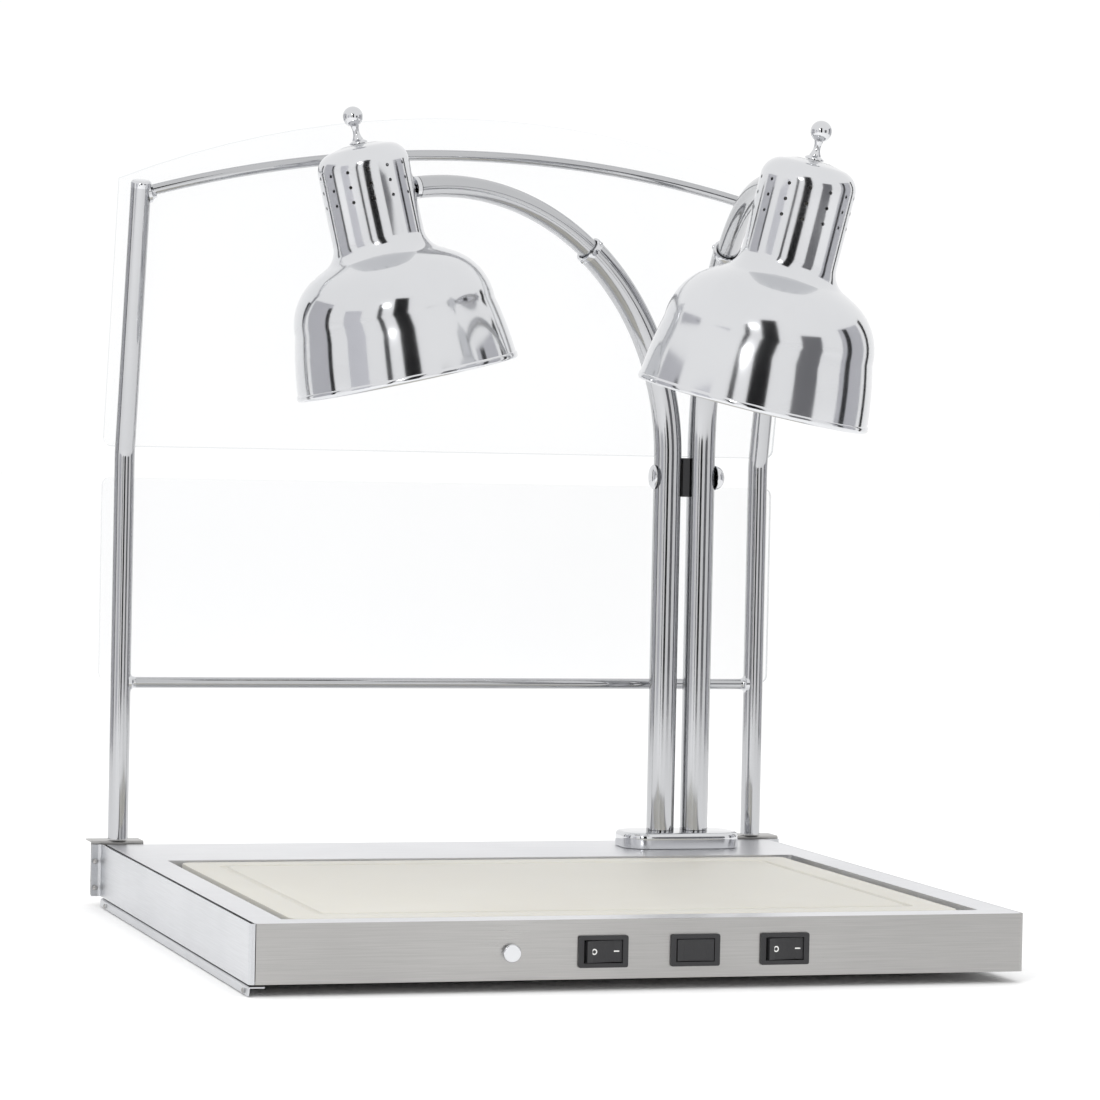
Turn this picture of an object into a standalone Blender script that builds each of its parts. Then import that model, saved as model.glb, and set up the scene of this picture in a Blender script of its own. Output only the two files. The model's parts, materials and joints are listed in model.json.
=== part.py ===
"""Countertop carving station: a steel base with a lift-out cutting board, a clear guard at the
rear, and two heat lamps on arms that telescope along an arc. Metres, +Z up, -Y is the operator's
side, and the counter is at Z = 0."""

import math

import bmesh
import bpy
from mathutils import Matrix, Vector

GAP = 0.0003                    # clearance between pieces that touch
SHEET = 0.0015                  # steel sheet of the base

# base
BASE_W, BASE_D, BASE_H = 0.695, 0.662, 0.0511
FOOT_H = 0.0105                 # the base clears the counter by this much
FRONT_Y = -0.3455               # outer face of the fascia
REAR_Y = FRONT_Y + BASE_D
TOP_Z = FOOT_H + BASE_H
HALF_W = BASE_W / 2

# recess and board
RECESS_W, RECESS_D, RECESS_DEPTH = 0.6325, 0.4775, 0.0142
RECESS_Y0 = FRONT_Y + 0.030
BOARD_W, BOARD_D, BOARD_T = 0.6096, 0.4572, 0.0127
BOARD_Y = RECESS_Y0 + 0.014 + BOARD_D / 2

# controls on the fascia
CONTROL_Z = FOOT_H + 0.0236
ROCKER_X = (-0.0414, 0.0416, 0.1233)
BUTTON_X = -0.123
BEZEL_W, BEZEL_H = 0.0445, 0.0275
PADDLE_W, PADDLE_H = 0.0330, 0.0186
ROCKER_TILT = math.radians(9)
ROCKER_REST = (1, 0, 1)         # which rockers rest with their right half pressed

# rear guard
POST_X, POST_Y, POST_R = 0.332, FRONT_Y + 0.674, 0.010
POST_BEND_Z, POST_TOP_Z = FOOT_H + 0.4375, FOOT_H + 0.7010
LEAN = math.radians(12.5)       # the upper half leans towards the operator
BAR_R = 0.0054
LOWER_BAR_Z = FOOT_H + 0.2107
ARCH_END_Z, ARCH_MID_Z = FOOT_H + 0.6915, FOOT_H + 0.7395
PANEL_HALF, PANEL_T = 0.3515, 0.005
PANEL_SET = 0.0115              # from a post's axis to a panel's front face
LOWER_PANEL_Z = (FOOT_H + 0.2110, FOOT_H + 0.4135)
UPPER_PANEL_Z = (FOOT_H + 0.4415, FOOT_H + 0.7030, FOOT_H + 0.7735)   # bottom, side, middle

# lamp stand
STAND_X, STAND_Y, STAND_GAP = 0.2268, FRONT_Y + 0.600, 0.0178
OUTER_R, OUTER_WALL = 0.0140, 0.0022
INNER_R, INNER_WALL = 0.0108, 0.0015
FLANGE_W, FLANGE_D, FLANGE_T = 0.122, 0.066, 0.0165
ARC_R, ARC_Z = 0.261, FOOT_H + 0.443
OUTER_END = 51.0                # where along the arc the outer tube ends, in degrees
INNER_SPAN = 74.0
CLAMP_Z = FOOT_H + 0.424

# heat lamp, measured along its own axis from the rim
RIM_R = 0.1078
NECK_R = 0.0445
ATTACH_H = 0.183
NECK_OFFSET = 0.055             # from the inner tube's end to the lamp's axis
SHADE_WALL = 0.0014
BULB_WALL = 0.0012

# name, side of the stand, heading of the arm from -Y towards +X, arc angle of its end, then the
# lamp's swivel about the arm's end and its lean from square to it
ARMS = (("left", -1, -74.0, 98.7, 4.4, 3.8), ("right", 1, -6.4, 108.5, -12.0, -11.8))


# ---------------------------------------------------------------- materials
def material(name, colour, metallic=0.0, roughness=0.4, alpha=1.0):
    found = bpy.data.materials.get(name)
    if found:
        return found
    new = bpy.data.materials.new(name)
    new.use_nodes = True
    shader = new.node_tree.nodes["Principled BSDF"]
    shader.inputs["Base Color"].default_value = (*colour, 1)
    shader.inputs["Metallic"].default_value = metallic
    shader.inputs["Roughness"].default_value = roughness
    shader.inputs["Alpha"].default_value = alpha
    return new


def steel():
    return material("brushed_steel", (0.62, 0.61, 0.60), 1.0, 0.32)


def chrome():
    return material("chrome", (0.78, 0.79, 0.81), 1.0, 0.07)


def black():
    return material("black_plastic", (0.015, 0.015, 0.017), 0.0, 0.35)


def rubber():
    return material("rubber", (0.03, 0.03, 0.03), 0.0, 0.8)


def poly():
    return material("polyethylene", (0.83, 0.81, 0.72), 0.0, 0.55)


def acrylic():
    return material("acrylic", (0.93, 0.96, 0.97), 0.0, 0.04, 0.25)


def copper():
    return material("insulated_wire", (0.45, 0.06, 0.04), 0.0, 0.5)


def ceramic():
    return material("ceramic", (0.90, 0.88, 0.83), 0.0, 0.4)


def bulb_glass():
    return material("bulb_glass", (0.92, 0.90, 0.86), 0.0, 0.25)


# ---------------------------------------------------------------- scene helpers
def clear_scene():
    for obj in list(bpy.data.objects):
        bpy.data.objects.remove(obj, do_unlink=True)


def new_collection(name):
    made = bpy.data.collections.new(name)
    bpy.context.scene.collection.children.link(made)
    return made


def place(obj, mat=None, cutter=False):
    """Links the object and gives it its material, or marks it as a cutter."""
    (CUTTERS if cutter else PARTS).objects.link(obj)
    if cutter:
        obj.hide_render = True
        obj.display_type = "WIRE"
    elif mat:
        obj.data.materials.append(mat)
    return obj


def mesh_object(name, bm, mat=None, cutter=False, smooth=True):
    mesh = bpy.data.meshes.new(name)
    bm.to_mesh(mesh)
    bm.free()
    if smooth:
        mesh.shade_smooth()
        mesh.set_sharp_from_angle(angle=math.radians(35))
    return place(bpy.data.objects.new(name, mesh), mat, cutter)


def turned_to(direction):
    """The rotation that takes +Z to a direction."""
    return Vector(direction).to_track_quat("Z", "Y").to_matrix().to_4x4()


def bevel(obj, width, segments=2, angle=35):
    edge = obj.modifiers.new("edges", "BEVEL")
    edge.width = width
    edge.segments = segments
    edge.limit_method = "ANGLE"
    edge.angle_limit = math.radians(angle)
    return obj


def box(name, low, high, mat=None, cutter=False):
    bm = bmesh.new()
    low, high = Vector(low), Vector(high)
    bmesh.ops.create_cube(bm, size=1.0, matrix=Matrix.Translation((low + high) / 2)
                          @ Matrix.Diagonal((*(high - low), 1)))
    return mesh_object(name, bm, mat, cutter, smooth=False)


def cylinder(name, start, end, radius, mat=None, cutter=False, segments=20):
    start, end = Vector(start), Vector(end)
    bm = bmesh.new()
    bmesh.ops.create_cone(bm, cap_ends=True, segments=segments, radius1=radius, radius2=radius,
                          depth=(end - start).length,
                          matrix=Matrix.Translation((start + end) / 2) @ turned_to(end - start))
    return mesh_object(name, bm, mat, cutter)


def boolean(obj, other, operation="DIFFERENCE"):
    cut = obj.modifiers.new(operation.lower(), "BOOLEAN")
    cut.operation = operation
    cut.object = other
    return obj


def rod(name, points, radius, mat, resolution=3, wall=None, caps=True):
    """A round bar along points, or a pipe with an outer radius and a wall."""
    curve = bpy.data.curves.new(name, "CURVE")
    curve.dimensions = "3D"
    curve.bevel_depth = radius
    curve.bevel_resolution = resolution
    curve.use_fill_caps = caps and wall is None
    spline = curve.splines.new("POLY")
    spline.points.add(len(points) - 1)
    for point, place_at in zip(spline.points, points):
        point.co = (*place_at, 1)
    obj = place(bpy.data.objects.new(name, curve), mat)
    if wall:
        shell = obj.modifiers.new("wall", "SOLIDIFY")
        shell.thickness = wall
        shell.offset = -1
    return obj


def turned(name, profile, mat, steps=24, matrix=Matrix(), wall=None, origin=(0, 0, 0)):
    """A turned piece. The profile gives (radius, height), outer side from top to bottom."""
    mesh = bpy.data.meshes.new(name)
    bm = bmesh.new()
    verts = [bm.verts.new((r, 0, h)) for r, h in profile]
    for a, b in zip(verts, verts[1:]):
        bm.edges.new((a, b))
    bm.to_mesh(mesh)
    bm.free()
    obj = place(bpy.data.objects.new(name, mesh), mat)
    obj.matrix_world = Matrix.Translation(origin) @ matrix
    screw = obj.modifiers.new("turn", "SCREW")
    screw.steps = screw.render_steps = steps
    screw.use_merge_vertices = True
    screw.merge_threshold = 0.00001
    screw.use_smooth_shade = True
    if wall:
        shell = obj.modifiers.new("wall", "SOLIDIFY")
        shell.thickness = wall
        shell.offset = -1
    return obj


def outline(name, points, thickness, mat=None, matrix=Matrix(), cutter=False):
    """A flat outline in its own XY plane, thick to both sides of it."""
    curve = bpy.data.curves.new(name, "CURVE")
    curve.dimensions = "2D"
    curve.fill_mode = "BOTH"
    curve.extrude = thickness / 2
    spline = curve.splines.new("POLY")
    spline.points.add(len(points) - 1)
    for point, (x, y) in zip(spline.points, points):
        point.co = (x, y, 0, 1)
    spline.use_cyclic_u = True
    obj = place(bpy.data.objects.new(name, curve), None if cutter else mat)
    obj.matrix_world = matrix
    return solid(obj, cutter, mat)


def solid(obj, cutter=False, mat=None):
    """The curve object as one welded mesh object of the same name."""
    graph = bpy.context.evaluated_depsgraph_get()
    mesh = bpy.data.meshes.new_from_object(obj.evaluated_get(graph))
    matrix, name = obj.matrix_world.copy(), obj.name
    bpy.data.objects.remove(obj, do_unlink=True)
    bm = bmesh.new()
    bm.from_mesh(mesh)
    bmesh.ops.remove_doubles(bm, verts=bm.verts, dist=0.00001)
    bm.to_mesh(mesh)
    bm.free()
    made = bpy.data.objects.new(name, mesh)
    made.matrix_world = matrix
    mesh.materials.clear()
    return place(made, mat, cutter)


def arc(centre, radius, start, end, steps):
    """Points on an arc, in degrees."""
    angles = [math.radians(start + (end - start) * i / steps) for i in range(steps + 1)]
    return [(centre[0] + radius * math.cos(a), centre[1] + radius * math.sin(a)) for a in angles]


def round_box(half_x, half_y, radius, steps=4):
    points = []
    for sx, sy, start in ((1, 1, 0), (-1, 1, 90), (-1, -1, 180), (1, -1, 270)):
        centre = (sx * (half_x - radius), sy * (half_y - radius))
        points += arc(centre, radius, start, start + 90, steps)
    return points


def swept_sheet(name, path, axis, span, mat, thickness=SHEET, offset=-1):
    """A bent sheet: a path in the plane across an axis, swept over a span of that axis."""
    bm = bmesh.new()
    order = {"Z": lambda a, b, c: (a, b, c), "X": lambda a, b, c: (c, a, b),
             "Y": lambda a, b, c: (a, c, b)}[axis]
    rows = [[bm.verts.new(order(a, b, c)) for a, b in path] for c in span]
    for i in range(len(path) - 1):
        bm.faces.new((rows[0][i], rows[0][i + 1], rows[1][i + 1], rows[1][i]))
    obj = mesh_object(name, bm, mat)
    shell = obj.modifiers.new("sheet", "SOLIDIFY")
    shell.thickness = thickness
    shell.offset = offset
    return obj


# ---------------------------------------------------------------- base
def build_deck():
    """Top sheet and drawn recess in one piece."""
    top = TOP_Z
    mid_y = RECESS_Y0 + RECESS_D / 2
    low_y, high_y = FRONT_Y + SHEET + GAP, REAR_Y - GAP
    deck = outline("deck_pan", round_box(HALF_W - SHEET - GAP, (high_y - low_y) / 2, 0.0028, 3),
                   SHEET, steel(), Matrix.Translation((0, (low_y + high_y) / 2, top - SHEET / 2)))
    at = Matrix.Translation((0, mid_y, top - (RECESS_DEPTH + SHEET) / 2 - 0.0002))
    tray = outline("recess_tray", round_box(RECESS_W / 2 + SHEET, RECESS_D / 2 + SHEET, 0.0045),
                   RECESS_DEPTH + SHEET - 0.0004, matrix=at, cutter=True)
    hollow = outline("recess_hollow", round_box(RECESS_W / 2, RECESS_D / 2, 0.003),
                     RECESS_DEPTH * 2, matrix=Matrix.Translation((0, mid_y, top)), cutter=True)
    boolean(deck, tray, "UNION")
    boolean(deck, hollow)
    for side in (-1, 1):
        x = STAND_X + side * STAND_GAP
        hole = cylinder(f"wire_hole_{side}", (x, STAND_Y, top - 0.01), (x, STAND_Y, top + 0.01),
                        0.006, cutter=True, segments=12)
        boolean(deck, hole)


def build_fascia():
    """Front panel with a rounded right corner that returns along the side."""
    corner = 0.004
    path = [(-HALF_W + 0.0025, FRONT_Y)]
    path += arc((HALF_W - corner, FRONT_Y + corner), corner, 270, 360, 4)
    path += [(HALF_W, FRONT_Y + 0.018)]
    fascia = swept_sheet("front_fascia", path, "Z", (FOOT_H, TOP_Z), steel())
    for i, x in enumerate(ROCKER_X):
        hole = box(f"rocker_hole_{i}", (x - 0.0192, FRONT_Y - 0.01, CONTROL_Z - 0.0113),
                   (x + 0.0192, FRONT_Y + 0.01, CONTROL_Z + 0.0113), cutter=True)
        boolean(fascia, hole)
    hole = cylinder("button_hole", (BUTTON_X, FRONT_Y - 0.01, CONTROL_Z),
                    (BUTTON_X, FRONT_Y + 0.01, CONTROL_Z), 0.0066, cutter=True)
    boolean(fascia, hole)


def build_sides():
    """Side panels whose rear ends fold out into ears, and the skirt under the left one."""
    ear_x, bend = HALF_W + 0.0125, 0.003
    rear = REAR_Y + 0.0010
    for name, side in (("left_side_panel", -1), ("right_side_panel", 1)):
        x = side * (HALF_W if side > 0 else HALF_W + 0.0030)
        front = FRONT_Y + (0.0185 if side > 0 else 0.0035)
        path = [(side * ear_x, rear), (x + side * bend, rear)]
        path += arc((x + side * bend, rear - bend), bend, 90, 180 if side > 0 else 0, 3)[1:]
        path += [(x, front)]
        if side < 0:
            path += arc((x + 0.0035, front), 0.0035, 180, 270, 3)[1:]
            path += [(x + 0.0048, front - 0.0035)]
        swept_sheet(name, path, "Z", (FOOT_H, TOP_Z), steel(), offset=side)
    x = -HALF_W - 0.0032
    skirt = [(x + 0.014, FOOT_H - 0.0018), (x + 0.0015, FOOT_H - 0.0018),
             (x + 0.0002, FOOT_H - 0.0028), (x, FOOT_H - 0.0045), (x - 0.0006, 0.0012)]
    swept_sheet("left_skirt", skirt, "Y", (FRONT_Y + 0.0008, REAR_Y - 0.001), steel(),
                thickness=0.0012, offset=1)
    for name, y in (("skirt_screw_front", FRONT_Y + 0.016), ("skirt_screw_rear", REAR_Y - 0.030)):
        screw(name, (x - 0.0008, y, 0.0042), (-1, 0, 0), 0.0024)


def screw(name, at, out, radius):
    """A pan-head screw: the head, seen outside, whose flat underside rests at a point."""
    out = Vector(out)
    profile = [(0, radius * 0.75), (radius * 0.55, radius * 0.62), (radius, radius * 0.15),
               (radius, 0), (0, 0)]
    turned(name, profile, steel(), steps=12, matrix=turned_to(out),
           origin=Vector(at) + out * GAP)


def build_rear_and_bottom():
    """Rear panel with the supply gland, the bottom cover and its feet."""
    inset = 0.0040
    rear = box("rear_panel", (-HALF_W + 0.004, REAR_Y - 0.0035 - SHEET, FOOT_H + SHEET + GAP),
               (HALF_W - 0.004, REAR_Y - 0.0035, TOP_Z - SHEET - GAP), steel())
    hole = cylinder("gland_hole", (0.10, REAR_Y - 0.02, CONTROL_Z), (0.10, REAR_Y + 0.02, CONTROL_Z),
                    0.0093, cutter=True)
    boolean(rear, hole)
    box("bottom_cover", (-HALF_W + inset, FRONT_Y + inset, FOOT_H),
        (HALF_W - inset, REAR_Y - 0.0035, FOOT_H + SHEET), steel())
    for name, x, y in (("foot_front_left", -0.285, FRONT_Y + 0.125),
                       ("foot_front_right", 0.285, FRONT_Y + 0.125),
                       ("foot_rear_left", -0.285, REAR_Y - 0.06),
                       ("foot_rear_right", 0.285, REAR_Y - 0.06)):
        turned(name, [(0, FOOT_H - GAP), (0.0135, FOOT_H - GAP), (0.0110, 0.001), (0.0100, 0),
                      (0, 0)], rubber(), steps=20, origin=(x, y, 0))
    build_gland()


def build_gland():
    """Strain relief for a supply lead: nut, flange and tapered nose with its bore."""
    profile = [(0.0042, 0.020), (0.0070, 0.020), (0.0085, 0.006), (0.0125, 0.006),
               (0.0125, 0.0), (0.0090, 0.0), (0.0090, -0.010), (0.0042, -0.010), (0.0042, 0.020)]
    turned("cable_gland", profile, black(), steps=20, matrix=turned_to((0, 1, 0)),
           origin=(0.10, REAR_Y - 0.0035 + GAP, CONTROL_Z))


def build_controls():
    """Three rocker switches and the push button."""
    face = FRONT_Y - GAP
    for number, (x, rest) in enumerate(zip(ROCKER_X, ROCKER_REST), 1):
        at = Matrix.Translation((x, face - 0.0010, CONTROL_Z)) @ Matrix.Rotation(math.pi / 2, 4, "X")
        frame = outline(f"rocker_bezel_{number}", round_box(BEZEL_W / 2, BEZEL_H / 2, 0.0016, 2),
                        0.002, black(), at)
        window = box(f"bezel_window_{number}",
                     (x - PADDLE_W / 2 - 0.0009, face - 0.01, CONTROL_Z - PADDLE_H / 2 - 0.0007),
                     (x + PADDLE_W / 2 + 0.0009, face + 0.01, CONTROL_Z + PADDLE_H / 2 + 0.0007),
                     cutter=True)
        boolean(frame, window)
        build_switch_body(number, x)
        build_paddle(number, x, ROCKER_TILT if rest else 0.0)
    build_button()


def build_switch_body(number, x):
    """Housing behind the fascia, open at the front for its paddle."""
    y0, y1 = FRONT_Y + SHEET + GAP, FRONT_Y + 0.027
    body = box(f"switch_body_{number}", (x - 0.0186, y0, CONTROL_Z - 0.0108),
               (x + 0.0186, y1, CONTROL_Z + 0.0108), black())
    well = box(f"switch_well_{number}", (x - 0.0176, y0 - 0.01, CONTROL_Z - 0.0100),
               (x + 0.0176, y0 + 0.0105, CONTROL_Z + 0.0100), cutter=True)
    boolean(body, well)


def build_paddle(number, x, tilt):
    """Rocker paddle: two faces that meet in a shallow valley, turning on a vertical pin."""
    half, crest = PADDLE_W / 2, 0.0016
    pivot = Vector((x, FRONT_Y + 0.0035, CONTROL_Z))
    points = [(-half, -0.0045), (-half * 0.62, -0.0040), (0, -0.0040 - crest * 0.4),
              (half * 0.62, -0.0040), (half, -0.0045), (half, 0.0012), (half * 0.35, 0.0030),
              (-half * 0.35, 0.0030), (-half, 0.0012)]
    valley = [(px, py - (0.0018 * (abs(px) / half) ** 1.5 if py < 0 else 0)) for px, py in points]
    paddle = outline(f"rocker_{number}", valley, PADDLE_H, black())
    paddle.matrix_world = Matrix.Translation(pivot) @ Matrix.Rotation(tilt, 4, "Z")


def build_button():
    """Push button with a bevelled face, in a sleeve behind the fascia."""
    at = Matrix.Rotation(math.pi / 2, 4, "X")
    turned("push_button", [(0, 0.0048), (0.0066, 0.0048), (0.0079, 0.0036), (0.0079, 0.0030),
                           (0.0056, 0.0030), (0.0056, -0.014), (0, -0.014)], chrome(), steps=28,
           matrix=at, origin=(BUTTON_X, FRONT_Y, CONTROL_Z))
    turned("button_sleeve", [(0.0061, -0.0018), (0.0095, -0.0018), (0.0095, -0.020), (0, -0.020),
                             (0, -0.0185), (0.0061, -0.0185), (0.0061, -0.0018)], black(),
           steps=20, matrix=at, origin=(BUTTON_X, FRONT_Y, CONTROL_Z))


def build_wiring():
    """Terminal block on the bottom cover, and the leads that run inside the base."""
    floor = FOOT_H + SHEET + GAP
    block = Vector((0.14, REAR_Y - 0.075, floor))
    box("terminal_block", block - Vector((0.024, 0.009, 0)), block + Vector((0.024, 0.009, 0.016)),
        black())
    z = floor + 0.006
    rod("supply_lead", [(0.10, REAR_Y - 0.0145, CONTROL_Z), (0.101, REAR_Y - 0.022, CONTROL_Z - 0.003),
                        (0.108, REAR_Y - 0.036, z + 0.006), (0.120, REAR_Y - 0.048, z + 0.002),
                        (0.127, REAR_Y - 0.058, z), (0.127, REAR_Y - 0.0655, z)], 0.0032, copper(), resolution=1)
    rod("switch_lead", [(ROCKER_X[1], FRONT_Y + 0.0275, z + 0.004), (0.040, FRONT_Y + 0.060, z),
                        (0.090, FRONT_Y + 0.200, z - 0.002), (0.130, FRONT_Y + 0.400, z - 0.002),
                        (0.140, REAR_Y - 0.110, z), (0.140, REAR_Y - 0.0845, z)],
        0.0025, copper(), resolution=1)
    rod("lamp_lead", [(0.1645, REAR_Y - 0.075, z), (0.185, REAR_Y - 0.073, z + 0.002),
                      (0.199, REAR_Y - 0.067, z + 0.012), (STAND_X - STAND_GAP, STAND_Y, TOP_Z - 0.008),
                      (STAND_X - STAND_GAP, STAND_Y, TOP_Z + 0.010)], 0.0022, copper(), resolution=1)


def build_board():
    """Cutting board with a juice groove round its top."""
    z = TOP_Z - RECESS_DEPTH + GAP + BOARD_T / 2
    at = Matrix.Translation((0, BOARD_Y, z))
    board = outline("cutting_board", round_box(BOARD_W / 2, BOARD_D / 2, 0.010), BOARD_T, poly(), at)
    inset, width, depth = 0.030, 0.007, 0.0028
    at_top = Matrix.Translation((0, BOARD_Y, z + BOARD_T / 2))
    groove = outline("groove_ring", round_box(BOARD_W / 2 - inset, BOARD_D / 2 - inset, 0.012),
                     depth * 2, matrix=at_top, cutter=True)
    island = outline("groove_island", round_box(BOARD_W / 2 - inset - width,
                                                BOARD_D / 2 - inset - width, 0.005),
                     depth * 3, matrix=at_top, cutter=True)
    boolean(groove, island)
    boolean(board, groove)


# ---------------------------------------------------------------- guard
def leaning(x, z, behind=0.0):
    """A point in the guard's upper, leaning plane, or behind it by a normal distance."""
    rise = (z - POST_BEND_Z) / math.cos(LEAN)
    return Vector((x, POST_Y - rise * math.sin(LEAN) + behind * math.cos(LEAN),
                   POST_BEND_Z + rise * math.cos(LEAN) + behind * math.sin(LEAN)))


def arch_z(x, half, end_z, mid_z):
    """Height of a circular arch over X."""
    rise = mid_z - end_z
    radius = (half * half + rise * rise) / (2 * rise)
    return mid_z - radius + math.sqrt(radius * radius - x * x)


def build_guard():
    foot_z = TOP_Z + 0.0046
    for side, name in ((-1, "left"), (1, "right")):
        x = side * POST_X
        bend = [(x, POST_Y - 0.06 * (1 - math.cos(t * LEAN)), POST_BEND_Z - 0.0065 +
                 0.06 * math.sin(t * LEAN)) for t in (0, 0.25, 0.5, 0.75, 1)]
        shaft = [(x, POST_Y, foot_z)] + bend + [leaning(x, POST_TOP_Z)]
        rod(f"guard_post_{name}", shaft, POST_R, chrome(), resolution=3)
        build_bracket(name, side)
    end = POST_X - POST_R - GAP
    rod("guard_lower_bar", [(-end, POST_Y, LOWER_BAR_Z), (end, POST_Y, LOWER_BAR_Z)], BAR_R,
        chrome(), resolution=2)
    end -= 0.0016
    steps = 16
    arch = [leaning(x, arch_z(x, POST_X, ARCH_END_Z, ARCH_MID_Z))
            for x in (-end + 2 * end * i / steps for i in range(steps + 1))]
    rod("guard_top_bar", arch, BAR_R, chrome(), resolution=2)
    build_panels()


def build_bracket(name, side):
    """Angle bracket behind the base: screwed to the ear, with the post on its top."""
    front = REAR_Y + 0.0010 + 0.0018
    outer, inner = side * (HALF_W + 0.0125), side * (HALF_W - 0.040)
    path = [(front, TOP_Z - 0.050), (front, TOP_Z + 0.0015), (front + 0.0015, TOP_Z + 0.0030),
            (front + 0.029, TOP_Z + 0.0030)]
    bracket = swept_sheet(f"guard_bracket_{name}", path, "X", sorted((outer, inner)), steel(),
                          thickness=0.0014, offset=1)
    bracket.location.y = 0.0016
    ear_face = REAR_Y + 0.0010 - SHEET
    heights = (TOP_Z - 0.0165, TOP_Z - 0.0425) if side < 0 else ()
    for number, z in enumerate(heights, 1):
        x = side * (HALF_W + 0.0088)
        screw(f"ear_screw_{number}", (x, ear_face - GAP, z), (0, -1, 0), 0.0026)


def build_panels():
    """Clear panels behind the posts, a straight one below and an arched, leaning one above."""
    y = POST_Y + PANEL_SET + PANEL_T / 2
    z0, z1 = LOWER_PANEL_Z
    at = Matrix.Translation((0, y, (z0 + z1) / 2)) @ Matrix.Rotation(math.pi / 2, 4, "X")
    outline("guard_panel_lower", round_box(PANEL_HALF, (z1 - z0) / 2, 0.008, 3), PANEL_T, acrylic(),
            at)
    z0, side_z, mid_z = UPPER_PANEL_Z
    stretch = 1 / math.cos(LEAN)
    arch = [(x, (arch_z(x, PANEL_HALF, side_z, mid_z) - z0) * stretch)
            for x in (PANEL_HALF - 2 * PANEL_HALF * i / 20 for i in range(21))]
    shape = arch + arc((-PANEL_HALF + 0.008, 0.008), 0.008, 180, 270, 3)
    shape += arc((PANEL_HALF - 0.008, 0.008), 0.008, 270, 360, 3)
    at = Matrix.Translation(leaning(0, z0, PANEL_SET + PANEL_T / 2))
    outline("guard_panel_upper", shape, PANEL_T, acrylic(),
            at @ Matrix.Rotation(math.pi / 2 + LEAN, 4, "X"))


# ---------------------------------------------------------------- lamp stand and lamps
def build_stand():
    """Chrome flange on the deck, and the brace between the two outer tubes."""
    flange = outline("lamp_flange", round_box(FLANGE_W / 2, FLANGE_D / 2, 0.024, 4), FLANGE_T,
                     chrome(), Matrix.Translation((STAND_X, STAND_Y, TOP_Z + GAP + FLANGE_T / 2)))
    for side in (-1, 1):
        x = STAND_X + side * STAND_GAP
        boolean(flange, cylinder(f"flange_bore_{side}", (x, STAND_Y, TOP_Z - 0.01),
                                 (x, STAND_Y, TOP_Z + 0.05), 0.007, cutter=True, segments=16))
    bevel(flange, 0.0030, 2, 50)
    inner_x = STAND_GAP - OUTER_R - GAP
    box("tube_spacer", (STAND_X - inner_x, STAND_Y - 0.007, CLAMP_Z - 0.0195),
        (STAND_X + inner_x, STAND_Y + 0.007, CLAMP_Z + 0.0195), black())
    for name, side, reach in (("brace_screw_left", -1, 0.0045), ("brace_screw_right", 1, 0.0100)):
        x = STAND_X + side * (STAND_GAP + OUTER_R + GAP)
        dome = [(0, reach), (0.006, reach * 0.86), (0.0105, reach * 0.48), (0.0125, 0), (0, 0)]
        turned(name, dome, chrome(), steps=20, matrix=turned_to((side, 0, 0)),
               origin=(x, STAND_Y, CLAMP_Z))


def arm_axes(side, heading):
    """Foot of the arm, its level direction, and the arc's centre."""
    h = math.radians(heading)
    foot = Vector((STAND_X + side * STAND_GAP, STAND_Y, 0))
    out = Vector((math.sin(h), -math.cos(h), 0))
    return foot, out, foot + out * ARC_R + Vector((0, 0, ARC_Z))


def arc_point(side, heading, degrees):
    foot, out, centre = arm_axes(side, heading)
    a = math.radians(degrees)
    return centre - out * (ARC_R * math.cos(a)) + Vector((0, 0, ARC_R * math.sin(a)))


def arc_tangent(heading, degrees):
    h, a = math.radians(heading), math.radians(degrees)
    return Vector((math.sin(h) * math.sin(a), -math.cos(h) * math.sin(a), math.cos(a)))


def build_arm(name, side, heading, end):
    """Outer tube with its collar, and the inner tube that slides along the same arc."""
    foot, out, centre = arm_axes(side, heading)
    straight = [foot + Vector((0, 0, z)) for z in (TOP_Z + FLANGE_T + 2 * GAP, ARC_Z)]
    steps = 10
    bend = [arc_point(side, heading, OUTER_END * (i + 1) / steps) for i in range(steps)]
    rod(f"outer_tube_{name}", straight + bend, OUTER_R, chrome(), resolution=3, wall=OUTER_WALL)
    tip = arc_tangent(heading, OUTER_END * (1 - 0.5 / steps))
    bore = INNER_R + 0.0009
    collar = [(bore, 0.0060), (OUTER_R + 0.0005, 0.0060), (OUTER_R + 0.0005, 0), (bore, 0),
              (bore, 0.0060)]
    turned(f"collar_{name}", collar, chrome(), steps=20, matrix=turned_to(tip),
           origin=arc_point(side, heading, OUTER_END) + tip * GAP)
    steps = 14
    inner = [arc_point(side, heading, end - INNER_SPAN * (1 - i / steps)) for i in range(steps + 1)]
    rod(f"inner_tube_{name}", inner, INNER_R, chrome(), resolution=3, wall=INNER_WALL)
    tip = arc_tangent(heading, end)
    stud_end = NECK_OFFSET - 0.0215
    stud = [(0, stud_end), (0.0042, stud_end), (0.0042, 0.0058), (0.0112, 0.0044), (0.0112, 0),
            (0, 0)]
    turned(f"swivel_stud_{name}", stud, chrome(), steps=20, matrix=turned_to(tip),
           origin=arc_point(side, heading, end) + tip * 0.0008)


def shade_profile():
    """Outer face of the shade from its crown to its rim, as (radius, height)."""
    crown = [(0.0062, 0.2307)]
    crown += list(reversed(arc((0.0253, 0.2085), 0.0192, 0, 82, 4)))
    neck = [(NECK_R, 0.1725)]
    fillet = arc((0.0668, 0.1390), 0.0223, 180, 250, 4)
    shoulder = arc((0.0390, 0.0616), 0.0592, 62, 0, 6)
    skirt = [(0.1027, 0.0411), (0.1063, 0.0185), (RIM_R, 0.0)]
    return crown + neck + fillet + shoulder + skirt


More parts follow.
